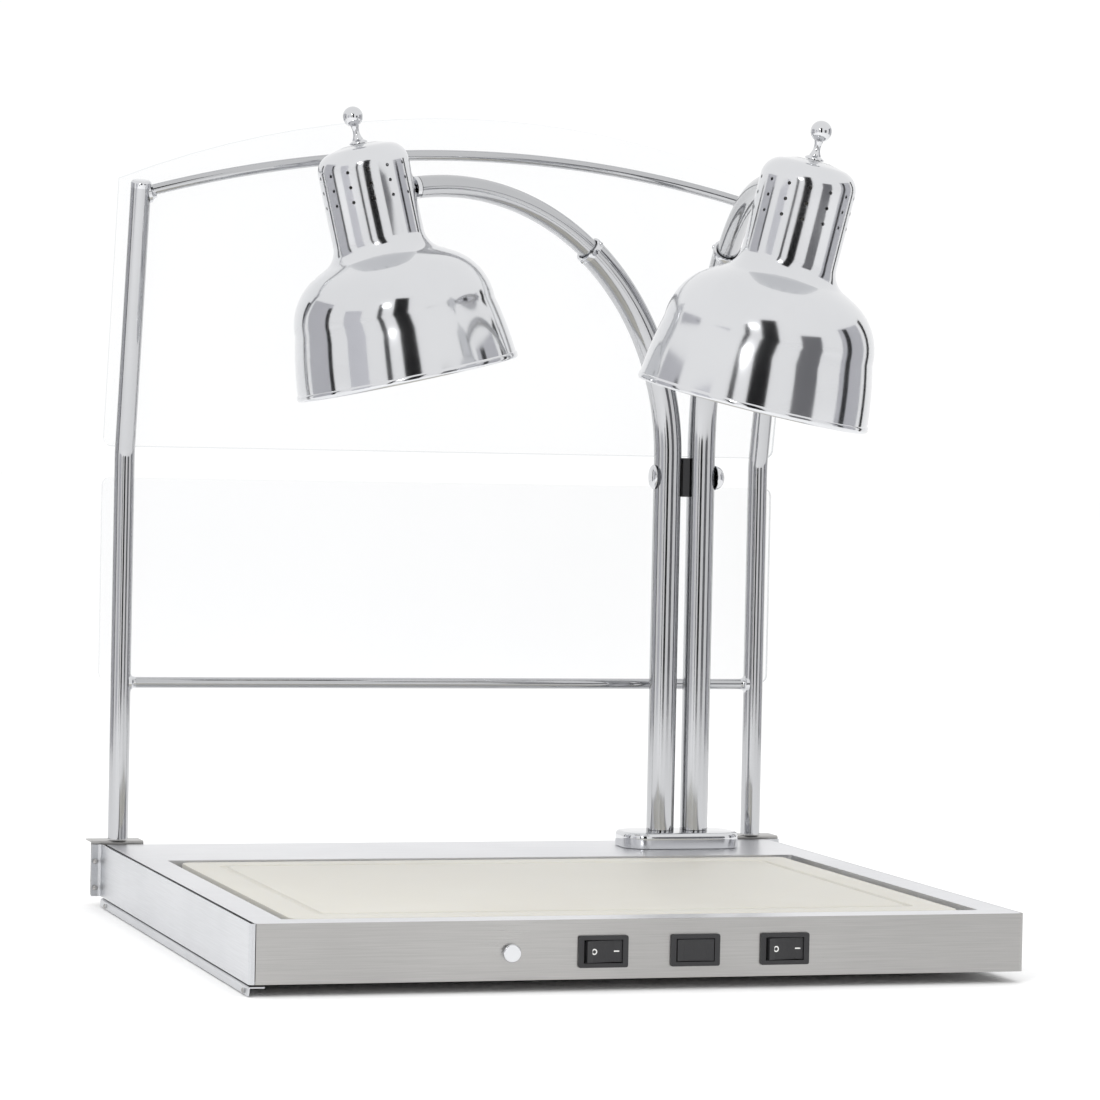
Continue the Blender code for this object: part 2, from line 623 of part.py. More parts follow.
def build_lamp(name, side, heading, end, swivel, lean):
    """Shade, knob, lampholder and bulb, all on the lamp's own axis."""
    tangent = arc_tangent(heading, end)
    at = arc_point(side, heading, end) + tangent * NECK_OFFSET
    h, a = math.radians(heading), math.radians(end + lean)
    down = Vector((math.sin(h) * math.cos(a), -math.cos(h) * math.cos(a), -math.sin(a)))
    down = Matrix.Rotation(math.radians(swivel), 3, tangent) @ down
    across = tangent.cross(-down).normalized()
    axes = Matrix((down.cross(across), across, -down)).transposed().to_4x4()
    rim = at + down * ATTACH_H
    shade = turned(f"shade_{name}", shade_profile(), chrome(), steps=28, matrix=axes, origin=rim,
                   wall=SHADE_WALL)
    boolean(shade, cylinder(f"stud_hole_{name}", at - tangent * (NECK_R + 0.01),
                            at - tangent * (NECK_R - 0.01), 0.0050, cutter=True, segments=12))
    knob = [(0.0, 0.2677)] + [(0.0098 * math.sin(math.radians(t)),
                               0.2579 + 0.0098 * math.cos(math.radians(t)))
                              for t in (25, 50, 75, 100, 125, 152)]
    knob += [(0.0033, 0.2446), (0.0034, 0.2394), (0.0052, 0.2354), (0.0088, 0.2328),
             (0.0088, 0.2311), (0.0057, 0.2308), (0.0057, 0.2160), (0, 0.2160)]
    turned(f"knob_{name}", knob, chrome(), steps=20, matrix=axes, origin=rim)
    holder = [(0, 0.2145), (0.0190, 0.2145), (0.0190, 0.1540), (0.0142, 0.1540),
              (0.0142, 0.1860), (0, 0.1860)]
    turned(f"lampholder_{name}", holder, ceramic(), steps=20, matrix=axes, origin=rim)
    bulb = [(0.0040, 0.1820), (0.0130, 0.1815), (0.0130, 0.1530), (0.0190, 0.1440), (0.0260, 0.1270),
            (0.0460, 0.0910), (0.0600, 0.0620), (0.0635, 0.0480), (0.0615, 0.0360),
            (0.0480, 0.0275), (0.0260, 0.0245), (0, 0.0235)]
    turned(f"bulb_{name}", bulb, bulb_glass(), steps=20, matrix=axes, origin=rim, wall=BULB_WALL)


clear_scene()
PARTS = new_collection("heat_lamp_warmer")
CUTTERS = new_collection("cutters")
build_deck()
build_fascia()
build_sides()
build_rear_and_bottom()
build_controls()
build_wiring()
build_board()
build_guard()
build_stand()
for arm_name, arm_side, arm_heading, arm_end, lamp_swivel, lamp_lean in ARMS:
    build_arm(arm_name, arm_side, arm_heading, arm_end)
    build_lamp(arm_name, arm_side, arm_heading, arm_end, lamp_swivel, lamp_lean)
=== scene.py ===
"""Looks, light and camera for the carving station with heat lamps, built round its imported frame."""
import json
import math

import bmesh
import bpy
import numpy as np
from mathutils import Matrix, Vector
from mathutils.bvhtree import BVHTree


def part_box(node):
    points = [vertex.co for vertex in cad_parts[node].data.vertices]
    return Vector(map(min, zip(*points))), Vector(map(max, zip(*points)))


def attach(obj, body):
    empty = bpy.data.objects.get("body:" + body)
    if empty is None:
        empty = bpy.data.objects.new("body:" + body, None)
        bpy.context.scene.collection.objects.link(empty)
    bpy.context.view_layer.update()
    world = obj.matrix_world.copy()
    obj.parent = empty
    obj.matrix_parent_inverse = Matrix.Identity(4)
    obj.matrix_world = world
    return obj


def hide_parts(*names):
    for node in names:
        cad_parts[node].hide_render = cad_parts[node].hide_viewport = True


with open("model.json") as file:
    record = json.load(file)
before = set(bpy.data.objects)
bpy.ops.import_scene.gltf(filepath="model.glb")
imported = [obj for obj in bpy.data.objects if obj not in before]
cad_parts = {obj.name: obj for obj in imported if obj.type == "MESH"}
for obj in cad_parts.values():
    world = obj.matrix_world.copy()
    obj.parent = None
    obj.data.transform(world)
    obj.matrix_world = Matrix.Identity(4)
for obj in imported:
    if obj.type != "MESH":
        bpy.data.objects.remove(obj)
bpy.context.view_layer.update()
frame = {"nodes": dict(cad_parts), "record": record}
NODES = frame["nodes"]

# sizes in metres, in the row frame
FOOT_H, REAR_Y, TOP_Z, HALF_W = 0.0105, 0.3165, 0.0616, 0.3475
POST_X, POST_Y, POST_R, POST_BEND_Z, POST_TOP_Z = 0.332, 0.3285, 0.010, 0.448, 0.7115
LEAN = math.radians(12.5)
BAR_R, LOWER_BAR_Z, ARCH_END_Z, ARCH_MID_Z = 0.0054, 0.2212, 0.702, 0.750
PANEL_SET, PANEL_T = 0.0115, 0.005
STAND_X, STAND_Y, STAND_GAP = 0.2268, 0.2545, 0.0178
OUTER_R, ARC_R, ARC_Z, OUTER_END = 0.014, 0.261, 0.4535, 51.0
INNER_R, INNER_SPAN = 0.0108, 74
NECK_R, ATTACH_H, NECK_OFFSET, SHADE_WALL = 0.0445, 0.183, 0.055, 0.0014
VENT_ROWS, VENT_COLUMNS, VENT_R = (0.1766, 0.1910, 0.2054), 14, 0.0017
VIEW_YAW = 0.28384              # the camera looks this far round from the Y axis
# name, side of the stand, heading, arc angle of the arm's end, lamp swivel, lamp lean
ARMS = (("left", -1, -74.0, 98.7, 4.4, 3.8), ("right", 1, -6.4, 108.5, -12.0, -11.8))


# ---------------------------------------------------------------- camera
def add_camera():
    yaw, pitch, roll = VIEW_YAW, -0.02246, 0.0202
    forward = Vector((math.sin(yaw) * math.cos(pitch), math.cos(yaw) * math.cos(pitch),
                      math.sin(pitch)))
    right = Vector((math.cos(yaw), -math.sin(yaw), 0))
    up = right.cross(forward)
    right, up = (math.cos(roll) * right + math.sin(roll) * up,
                 math.cos(roll) * up - math.sin(roll) * right)
    data = bpy.data.cameras.new("camera")
    data.sensor_width, data.lens = 36.0, 135.37
    data.shift_x, data.shift_y = 0.0446, -0.0179
    camera = bpy.data.objects.new("camera", data)
    camera.matrix_world = (Matrix.Translation((-1.1189, -3.7024, 0.4712)) @
                           Matrix((right, up, -forward)).transposed().to_4x4())
    bpy.context.scene.collection.objects.link(camera)
    bpy.context.scene.camera = camera


# ---------------------------------------------------------------- materials
class Look:
    """A material's node tree, with short calls for the nodes that these looks share."""

    def __init__(self, name, **sockets):
        self.material = bpy.data.materials.new(name)
        self.material.use_nodes = True
        self.tree = self.material.node_tree
        self.shader = self.tree.nodes["Principled BSDF"]
        self.put = self.tree.nodes.new("ShaderNodeTexCoord").outputs["Object"]
        for key, value in sockets.items():
            self.shader.inputs[key.replace("_", " ")].default_value = value

    def node(self, kind, **values):
        made = self.tree.nodes.new(kind)
        for key, value in values.items():
            if key in made.inputs:
                made.inputs[key].default_value = value
            else:
                setattr(made, key, value)
        return made

    def link(self, a, b):
        self.tree.links.new(a, b)

    def noise(self, scale, detail=3.0, stretch=(1, 1, 1), rough=0.55):
        """Noise over the object, stretched so that its grain runs along an axis."""
        mapping = self.node("ShaderNodeMapping", Scale=stretch)
        self.link(self.put, mapping.inputs["Vector"])
        noise = self.node("ShaderNodeTexNoise", Scale=scale, Detail=detail, Roughness=rough)
        self.link(mapping.outputs["Vector"], noise.inputs["Vector"])
        return noise.outputs["Fac"]

    def ramp(self, source, low, high, start=0.35, end=0.65):
        """Maps a 0-1 value onto the range low-high."""
        made = self.node("ShaderNodeMapRange")
        for key, value in (("From Min", start), ("From Max", end), ("To Min", low),
                           ("To Max", high)):
            made.inputs[key].default_value = value
        self.link(source, made.inputs["Value"])
        return made.outputs["Result"]

    def colours(self, source, low, high, start=0.35, end=0.65):
        ramp = self.node("ShaderNodeValToRGB")
        for stop, place, colour in zip(ramp.color_ramp.elements, (start, end), (low, high)):
            stop.position, stop.color = place, (*colour, 1)
        self.link(source, ramp.inputs["Fac"])
        return ramp.outputs["Color"]

    def bump(self, height, strength, distance):
        made = self.node("ShaderNodeBump", Strength=strength, Distance=distance)
        self.link(height, made.inputs["Height"])
        self.link(made.outputs["Normal"], self.shader.inputs["Normal"])

    def add(self, a, b):
        total = self.node("ShaderNodeMath", operation="ADD")
        self.link(a, total.inputs[0])
        self.link(b, total.inputs[1])
        return total.outputs[0]

    def set(self, socket, source):
        self.link(source, self.shader.inputs[socket])


def steel(name, grain, tone=0.43, cast=(1.0, 0.985, 0.965)):
    """Satin stainless sheet, its fine grain along one axis: 0 is X, 1 is Y, 2 is Z."""
    look = Look(name, Metallic=1.0)
    stretch = [1.0, 1.0, 1.0]
    stretch[grain] = 0.012
    fine = look.noise(1500, 2, stretch)
    broad = look.noise(5, 3)
    look.set("Base Color", look.colours(fine, tuple(tone * 0.94 * c for c in cast),
                                        tuple(tone * 1.05 * c for c in cast)))
    mixed = look.node("ShaderNodeMath", operation="MULTIPLY_ADD")
    look.link(fine, mixed.inputs[0])
    mixed.inputs[1].default_value = 0.35
    look.link(broad, mixed.inputs[2])
    look.set("Roughness", look.ramp(mixed.outputs[0], 0.27, 0.42, 0.45, 0.9))
    look.bump(fine, 0.10, 0.00012)
    return look.material


def chrome(name, tone=0.66, rough=0.035):
    """Bright plating: a slow unevenness, faint polishing swirls and slight handling marks."""
    look = Look(name, Metallic=1.0)
    slow = look.noise(9, 4)
    fine = look.noise(420, 3)
    look.set("Base Color", look.colours(slow, (tone * 0.965, tone * 0.975, tone),
                                        (tone * 1.01, tone * 1.02, tone * 1.045)))
    look.set("Roughness", look.ramp(slow, rough, rough + 0.05))
    look.bump(fine, 0.02, 0.00004)
    return look.material


def moulded(name, colour, rough, grain=1300.0, relief=0.12):
    """Moulded plastic or rubber with a fine spark-eroded skin and slightly uneven gloss."""
    look = Look(name)
    fine = look.noise(grain, 2)
    slow = look.noise(22, 3)
    darker = tuple(c * 0.86 for c in colour)
    look.set("Base Color", look.colours(slow, darker, colour))
    look.set("Roughness", look.ramp(slow, rough, rough + 0.10))
    look.bump(fine, relief, 0.00006)
    return look.material


def board_plastic():
    """Cream polyethylene: a pebbled skin, a faint cloudiness and a few fine knife marks."""
    look = Look("board_polyethylene", Subsurface_Weight=0.12, Subsurface_Scale=0.004,
                Specular_IOR_Level=0.35)
    look.shader.inputs["Subsurface Radius"].default_value = (1.0, 0.8, 0.5)
    cloud = look.noise(7, 4)
    pebble = look.noise(750, 2)
    cuts = look.noise(55, 2, (0.35, 14, 1), 0.4)
    look.set("Base Color", look.colours(cloud, (0.560, 0.543, 0.492), (0.602, 0.588, 0.540)))
    look.set("Roughness", look.ramp(cloud, 0.42, 0.56))
    marks = look.ramp(cuts, 0.0, 1.0, 0.66, 0.70)
    height = look.node("ShaderNodeMath", operation="MULTIPLY_ADD")
    look.link(marks, height.inputs[0])
    height.inputs[1].default_value = -0.5
    look.link(pebble, height.inputs[2])
    look.bump(height.outputs[0], 0.20, 0.00012)
    return look.material


def clear_sheet():
    """Clear acrylic: nearly unseen face on, with a greyish line of painted shade along the cut edges
    and a faint painted sheen.
    """
    look = Look("clear_acrylic", Roughness=0.03, IOR=1.49)
    geometry = look.node("ShaderNodeNewGeometry")
    split = look.node("ShaderNodeSeparateXYZ")
    look.link(geometry.outputs["Normal"], split.inputs[0])
    face = look.node("ShaderNodeMath", operation="ABSOLUTE")
    look.link(split.outputs["Y"], face.inputs[0])
    # The edge line is painted shade for light bent in the cut edges. The faint uneven opacity and
    # bluish tint on the faces are a painted reflection.
    painted_sheen = look.noise(3, 3)
    edge = look.ramp(face.outputs[0], 0.42, 0.0, 0.55, 0.90)
    look.set("Alpha", look.add(edge, look.ramp(painted_sheen, 0.030, 0.042)))
    look.set("Base Color", look.colours(face.outputs[0], (0.44, 0.48, 0.50), (0.50, 0.56, 0.64)))
    return look.material


def bulb_white():
    """Frosted reflector bulb: milky face, silvered neck showing through as a slow grey."""
    look = Look("bulb_frosted", Roughness=0.30, Coat_Weight=0.4, Coat_Roughness=0.08)
    slow = look.noise(14, 3)
    look.set("Base Color", look.colours(slow, (0.72, 0.70, 0.66), (0.88, 0.86, 0.82)))
    look.bump(look.noise(900, 2), 0.08, 0.00005)
    return look.material


LOOKS = {
    "chrome": chrome("chrome_plate"),
    "black_plastic": moulded("black_moulded", (0.018, 0.018, 0.020), 0.30),
    "rubber": moulded("black_rubber", (0.022, 0.021, 0.021), 0.62, 700.0, 0.3),
    "polyethylene": board_plastic(),
    "acrylic": clear_sheet(),
    "insulated_wire": moulded("wire_sleeve", (0.055, 0.052, 0.050), 0.45, 900.0, 0.1),
    "ceramic": moulded("glazed_ceramic", (0.78, 0.76, 0.72), 0.22, 500.0, 0.05),
    "bulb_glass": bulb_white(),
}
# One brushed stainless in three copies. Apart from the grain, the deck's lighter tone is painted
# light. The side panels' lighter tone and cool tint are painted light and a painted reflection. The
# front keeps the darker tone.
STEEL_X = steel("steel_grain_x", 0)
STEEL_SIDE_LIT = steel("steel_grain_y_lit", 1, 0.62, (0.985, 1.0, 1.03))
STEEL_DECK_LIT = steel("steel_deck_lit", 0, 0.76, (0.99, 0.995, 1.02))
# The tubes' chrome has a darker tone than the other chrome, which is a painted shade. It is rougher
# too.
CHROME_TUBE_SHADED = chrome("chrome_tube_shaded", 0.50, 0.06)
CHROME_SHADE = chrome("chrome_shade", 0.69, 0.085)
LOOKS["brushed_steel"] = STEEL_X
STEEL_OF = {"left_side_panel": STEEL_SIDE_LIT, "right_side_panel": STEEL_SIDE_LIT, "left_skirt": STEEL_SIDE_LIT,
            "deck_pan": STEEL_DECK_LIT}
MARK_WHITE = moulded("white_mark", (0.82, 0.82, 0.80), 0.40, 900.0, 0.05)


def dress_frame():
    """Every node that stays gets the look of its own material slot."""
    slots = {part["node"]: part["material_slot"] for part in frame["record"]["subparts"]}
    for name, node in NODES.items():
        look = STEEL_OF.get(name, LOOKS[slots[name]])
        if node.material_slots:
            for slot in node.material_slots:
                slot.material = look
        else:
            node.data.materials.append(look)


# ---------------------------------------------------------------- making pieces
def piece(name, mesh, body, slot, look=None, sharp=35.0):
    mesh.validate()
    mesh.shade_smooth()
    mesh.set_sharp_from_angle(angle=math.radians(sharp))
    mesh.materials.clear()
    mesh.materials.append(look or LOOKS[slot])
    obj = bpy.data.objects.new(name, mesh)
    bpy.context.scene.collection.objects.link(obj)
    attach(obj, body)
    return obj


def turned_to(direction, at=(0, 0, 0)):
    """A matrix whose Z axis is along a direction."""
    return Matrix.Translation(at) @ Vector(direction).to_track_quat("Z", "Y").to_matrix().to_4x4()


def revolve(bm, profile, matrix, steps=40, loop=False):
    """A profile of (radius, height) turned about the matrix's Z axis, closed at its ends."""
    rings = []
    for radius, height in profile:
        if radius < 1e-6:
            rings.append([bm.verts.new(matrix @ Vector((0, 0, height)))])
            continue
        rings.append([bm.verts.new(matrix @ Vector((radius * math.cos(math.tau * k / steps),
                                                    radius * math.sin(math.tau * k / steps),
                                                    height))) for k in range(steps)])
    pairs = list(zip(rings, rings[1:])) + ([(rings[-1], rings[0])] if loop else [])
    for a, b in pairs:
        for k in range(steps):
            j = (k + 1) % steps
            corners = [a[k % len(a)], a[j % len(a)], b[j % len(b)], b[k % len(b)]]
            corners = list(dict.fromkeys(corners))
            if len(corners) > 2:
                bm.faces.new(corners)
    if not loop:
        for ring in (rings[0], rings[-1]):
            if len(ring) > 1:
                bm.faces.new(ring)


def skin(bm, rings):
    """Faces between rings of equally many points, and one face over each end."""
    for a, b in zip(rings, rings[1:]):
        for k in range(len(a)):
            j = (k + 1) % len(a)
            bm.faces.new((a[k], a[j], b[j], b[k]))
    bm.faces.new(rings[0])
    bm.faces.new(rings[-1])


def finished(bm, name):
    bmesh.ops.recalc_face_normals(bm, faces=bm.faces[:])
    mesh = bpy.data.meshes.new(name)
    bm.to_mesh(mesh)
    bm.free()
    return mesh


def arc(centre, radius, start, end, count):
    turns = (math.radians(start + (end - start) * i / count) for i in range(count + 1))
    return [(centre[0] + radius * math.cos(t), centre[1] + radius * math.sin(t)) for t in turns]


def dome(head, height, flat=0.25):
    """Profile of a domed screw head, seated at height 0."""
    return [(0, 0), (head, 0), (head, height * flat)] + [
        (head * math.cos(math.radians(t)), height * (flat + (1 - flat) * math.sin(math.radians(t))))
        for t in (20, 40, 60, 76)] + [(0, height)]


def socket_screw(bm, at, direction, head, height):
    """Domed head with a round recess in its top."""
    shape = dome(head, height)[:-2]
    shape += [(head * 0.42, height * 0.96), (head * 0.40, height * 0.45), (0, height * 0.40)]
    revolve(bm, shape, turned_to(direction, at), 24)


# ---------------------------------------------------------------- lamps
def arm_line(side, heading):
    """Foot of an arm's upright, and the level direction in which its arc bends."""
    h = math.radians(heading)
    foot = Vector((STAND_X + side * STAND_GAP, STAND_Y, 0))
    return foot, Vector((math.sin(h), -math.cos(h), 0))


def on_arc(foot, out, degrees):
    """Point on an arm's arc, that many degrees up from the top of its upright."""
    a = math.radians(degrees)
    centre = foot + out * ARC_R + Vector((0, 0, ARC_Z))
    return centre - out * (ARC_R * math.cos(a)) + Vector((0, 0, ARC_R * math.sin(a)))


def along_arc(out, degrees):
    """Direction of the arc at that point."""
    a = math.radians(degrees)
    return out * math.sin(a) + Vector((0, 0, math.cos(a)))


def lamp_axes(side, heading, end, swivel, lean):
    """The rim's centre with Z up the lamp's middle, and where and which way the arm meets it."""
    foot, out = arm_line(side, heading)
    tangent = along_arc(out, end)
    at = on_arc(foot, out, end) + tangent * NECK_OFFSET
    tilted = math.radians(end + lean)
    down = out * math.cos(tilted) - Vector((0, 0, math.sin(tilted)))
    down = Matrix.Rotation(math.radians(swivel), 3, tangent) @ down
    across = tangent.cross(-down).normalized()
    axes = Matrix((down.cross(across), across, -down)).transposed().to_4x4()
    return Matrix.Translation(at + down * ATTACH_H) @ axes, at, tangent


def shade_walls():
    """Closed section of the spun shade, with the folded hem round its rim."""
    outer = [(0.0062, 0.2307), (0.0150, 0.2306)]
    outer += list(reversed(arc((0.0253, 0.2085), 0.0192, 0, 84, 10)))
    outer += [(NECK_R, 0.1960), (NECK_R, 0.1840), (NECK_R, 0.1725)]
    outer += arc((0.0668, 0.1390), 0.0223, 180, 250, 9)
    outer += arc((0.0390, 0.0616), 0.0592, 62, 0, 16)
    outer += [(0.1009, 0.0500), (0.1029, 0.0400), (0.1047, 0.0290), (0.1061, 0.0185),
              (0.1069, 0.0110), (0.1073, 0.0064)]
    hem = [(0.1080, 0.0058), (0.1084, 0.0046), (0.1085, 0.0022), (0.1080, 0.0006),
           (0.1072, 0.0), (0.1062, 0.0004), (0.1058, 0.0016)]
    section = np.array(outer)
    along = np.gradient(section, axis=0)
    along /= np.linalg.norm(along, axis=1)[:, None]
    inner = section + SHADE_WALL * np.c_[along[:, 1], -along[:, 0]]
    inner[:, 0] = np.maximum(inner[:, 0], 0.0062)
    return outer + hem + [tuple(p) for p in inner[::-1]]


def build_shade(name, place, at, tangent):
    """Spun shade with three rows of vents round its neck."""
    bm = bmesh.new()
    revolve(bm, shade_walls(), place, 112, loop=True)
    mesh = finished(bm, f"shade_shell_{name}")
    holes = bmesh.new()
    turned = place.to_3x3()
    for height in VENT_ROWS:
        for k in range(VENT_COLUMNS):
            turn = math.tau * (k + 0.5) / VENT_COLUMNS
            out = turned @ Vector((math.cos(turn), math.sin(turn), 0))
            centre = place @ Vector((0, 0, height))
            matrix = turned_to(out, centre + out * (NECK_R - 0.006))
            revolve(holes, [(VENT_R, 0), (VENT_R, 0.012)], matrix, 12)
    revolve(holes, [(0.0052, 0), (0.0052, 0.022)],
            turned_to(tangent, at - tangent * (NECK_R + 0.012)), 24)
    cutter = bpy.data.objects.new("vents", finished(holes, "vents"))
    shell = bpy.data.objects.new("shell", mesh)
    for obj in (shell, cutter):
        bpy.context.scene.collection.objects.link(obj)
    cut = shell.modifiers.new("vents", "BOOLEAN")
    cut.operation, cut.object, cut.solver = "DIFFERENCE", cutter, "EXACT"
    bpy.context.view_layer.update()
    graph = bpy.context.evaluated_depsgraph_get()
    result = bpy.data.meshes.new_from_object(shell.evaluated_get(graph))
    result.name = f"shade_shell_{name}"
    bpy.data.objects.remove(shell)
    bpy.data.objects.remove(cutter)
    shade = piece(f"shade_shell_{name}", result, f"{name}_lamp", "chrome", CHROME_SHADE, 38)
    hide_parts(f"shade_{name}")


def build_knob(name, place):
    """Ball finial on a waisted stem and a stepped foot."""
    shape = [(0, 0.2677)] + [(0.0098 * math.sin(math.radians(t)),
                              0.2579 + 0.0098 * math.cos(math.radians(t)))
                             for t in range(12, 157, 12)]
    shape += [(0.0040, 0.2480), (0.0033, 0.2462), (0.0031, 0.2430), (0.0034, 0.2400),
              (0.0043, 0.2374), (0.0052, 0.2358), (0.0052, 0.2350), (0.0064, 0.2342),
              (0.0082, 0.2332), (0.0088, 0.2324), (0.0088, 0.2314), (0.0057, 0.2310),
              (0.0057, 0.2165), (0, 0.2165)]
    bm = bmesh.new()
    revolve(bm, shape, place, 48)
    knob = piece(f"ball_finial_{name}", finished(bm, f"ball_finial_{name}"), f"{name}_lamp",
                 "chrome", sharp=40)
    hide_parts(f"knob_{name}")


def build_bulb(name, place):
    """Reflector bulb with its screw cap, turned finely."""
    glass = [(0, 0.0235), (0.0120, 0.0237), (0.0260, 0.0246), (0.0400, 0.0262), (0.0520, 0.0292),
             (0.0590, 0.0330), (0.0628, 0.0385), (0.0637, 0.0450), (0.0630, 0.0520),
             (0.0600, 0.0620), (0.0540, 0.0750), (0.0462, 0.0905), (0.0350, 0.1110),
             (0.0265, 0.1270), (0.0210, 0.1390), (0.0178, 0.1470), (0.0168, 0.1525), (0, 0.1526)]
    bm = bmesh.new()
    revolve(bm, [(r * 0.995, z) for r, z in glass], place, 64)
    bulb = piece(f"reflector_bulb_{name}", finished(bm, f"reflector_bulb_{name}"),
                 f"{name}_lamp", "bulb_glass")
    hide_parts(f"bulb_{name}")
    bm = bmesh.new()
    thread = [(0, 0.1527), (0.0128, 0.1527)]
    for k in range(6):
        z = 0.1545 + k * 0.0040
        thread += [(0.0122, z), (0.0129, z + 0.0014), (0.0129, z + 0.0022)]
    thread += [(0.0100, 0.1795), (0.0045, 0.1815), (0, 0.1818)]
    revolve(bm, thread, place, 32)
    piece(f"bulb_cap_{name}", finished(bm, f"bulb_cap_{name}"), f"{name}_lamp", "chrome")


def sweep(path, radius, steps=40):
    """Round bar along a path, with flat ends."""
    path = [Vector(p) for p in path]
    bm = bmesh.new()
    across = None
    rings = []
    for i, at in enumerate(path):
        along = (path[min(i + 1, len(path) - 1)] - path[max(i - 1, 0)]).normalized()
        if across is None:
            across = along.orthogonal().normalized()
        across = (across - along * across.dot(along)).normalized()
        other = along.cross(across)
        turns = [math.tau * k / steps for k in range(steps)]
        rings.append([bm.verts.new(at + (across * math.cos(t) + other * math.sin(t)) * radius)
                      for t in turns])
    skin(bm, rings)
    return bm


def tube(name, path, radius, body, node):
    made = piece(name, finished(sweep(path, radius), name), body, "chrome", CHROME_TUBE_SHADED, 40)
    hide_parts(node)


def build_arm(name, side, heading, end):
    """The bent outer tube, the tube that slides along its arc, and the collar between them."""
    foot, out = arm_line(side, heading)
    start = TOP_Z + 0.0171
    outer = [foot + Vector((0, 0, start + (ARC_Z - start) * i / 12)) for i in range(12)]
    outer += [on_arc(foot, out, OUTER_END * i / 36) for i in range(37)]
    inner = [on_arc(foot, out, end - INNER_SPAN + INNER_SPAN * i / 60) for i in range(61)]
    tube(f"bent_tube_{name}", outer, OUTER_R, "base", f"outer_tube_{name}")
    tube(f"sliding_tube_{name}", inner, INNER_R, f"{name}_arm", f"inner_tube_{name}")
    tip = along_arc(out, OUTER_END)
    ring = [(0.0117, 0), (0.0145, 0), (0.0145, 0.0050), (0.0139, 0.0060), (0.0121, 0.0060),
            (0.0117, 0.0056)]
    bm = bmesh.new()
    revolve(bm, ring, turned_to(tip, on_arc(foot, out, OUTER_END) + tip * 0.0003), 56, loop=True)
    collar = piece(f"clamp_collar_{name}", finished(bm, f"clamp_collar_{name}"), "base", "chrome",
                   sharp=40)
    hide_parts(f"collar_{name}")


def build_stand():
    """Domed flange under the two tubes, and the domed heads of the screw that braces them."""
    half_x, half_y, corner, thick, base = 0.061, 0.033, 0.024, 0.0165, TOP_Z + 0.0003
    steps = [(0.0006, 0), (0, 0.0006), (0, 0.0112)]
    steps += [(0.0046 - r, 0.0112 + z) for r, z in arc((0, 0), 0.0046, 15, 90, 6)]
    steps += [(0.0100, 0.0163), (0.0140, thick)]
    bm = bmesh.new()
    rings = [[bm.verts.new((STAND_X + x, STAND_Y + y, base + z)) for x, y in
              rounded_loop(half_x - inset, half_y - inset, corner - min(inset, 0.016), 12)]
             for inset, z in steps]
    skin(bm, rings)
    flange = piece("stand_flange", finished(bm, "stand_flange"), "base", "chrome", sharp=50)
    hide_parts("lamp_flange")
    for name, side, reach in (("left", -1, 0.0045), ("right", 1, 0.0100)):
        bm = bmesh.new()
        at = (STAND_X + side * (STAND_GAP + OUTER_R + 0.0003), STAND_Y, FOOT_H + 0.424)
        shape = [(0, 0), (0.0121, 0), (0.0125, 0.0004)]
        shape += [(0.0125 * math.cos(math.radians(t)), reach * math.sin(math.radians(t)))
                  for t in range(12, 85, 9)] + [(0, reach)]
        revolve(bm, shape, turned_to((side, 0, 0), at), 48)
        head = piece(f"brace_head_{name}", finished(bm, f"brace_head_{name}"), "base", "chrome")
        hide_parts(f"brace_screw_{name}")


def build_button():
    """Flat-faced round button with an eased edge."""
    low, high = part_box("push_button")
    radius, length = (high.x - low.x) / 2, high.y - low.y
    shape = [(0, 0), (radius, 0), (radius, length - 0.0011)]
    shape += [(radius - 0.0011 + u, length - 0.0011 + v) for u, v in arc((0, 0), 0.0011, 15, 90, 5)]
    shape += [(radius * 0.55, length - 0.0002), (0, length - 0.0003)]
    bm = bmesh.new()
    revolve(bm, shape, turned_to((0, -1, 0), ((low.x + high.x) / 2, high.y, (low.z + high.z) / 2)),
            48)
    button = piece("round_button", finished(bm, "round_button"), "push_button", "chrome", sharp=40)
    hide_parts("push_button")


def build_collar_screws(name, side, heading):
    """Three set screws round the collar that clamps the sliding tube."""
    foot, out = arm_line(side, heading)
    tip = along_arc(out, OUTER_END)
    frame_axes = turned_to(tip, on_arc(foot, out, OUTER_END) + tip * 0.0033)
    bm = bmesh.new()
    for k in range(3):
        turn = math.tau * (k / 3) + math.radians(35)
        spoke = frame_axes.to_3x3() @ Vector((math.cos(turn), math.sin(turn), 0))
        socket_screw(bm, frame_axes.translation + spoke * (OUTER_R + 0.0002), spoke, 0.0024, 0.0020)
    piece(f"collar_screws_{name}", finished(bm, f"collar_screws_{name}"), "base", "chrome")


# ---------------------------------------------------------------- base and guard
def rounded_loop(half_x, half_y, radius, count=8):
    corners = ((1, 1, 0), (-1, 1, 90), (-1, -1, 180), (1, -1, 270))
    return [point for sx, sy, start in corners
            for point in arc((sx * (half_x - radius), sy * (half_y - radius)), radius,
                             start, start + 90, count)]


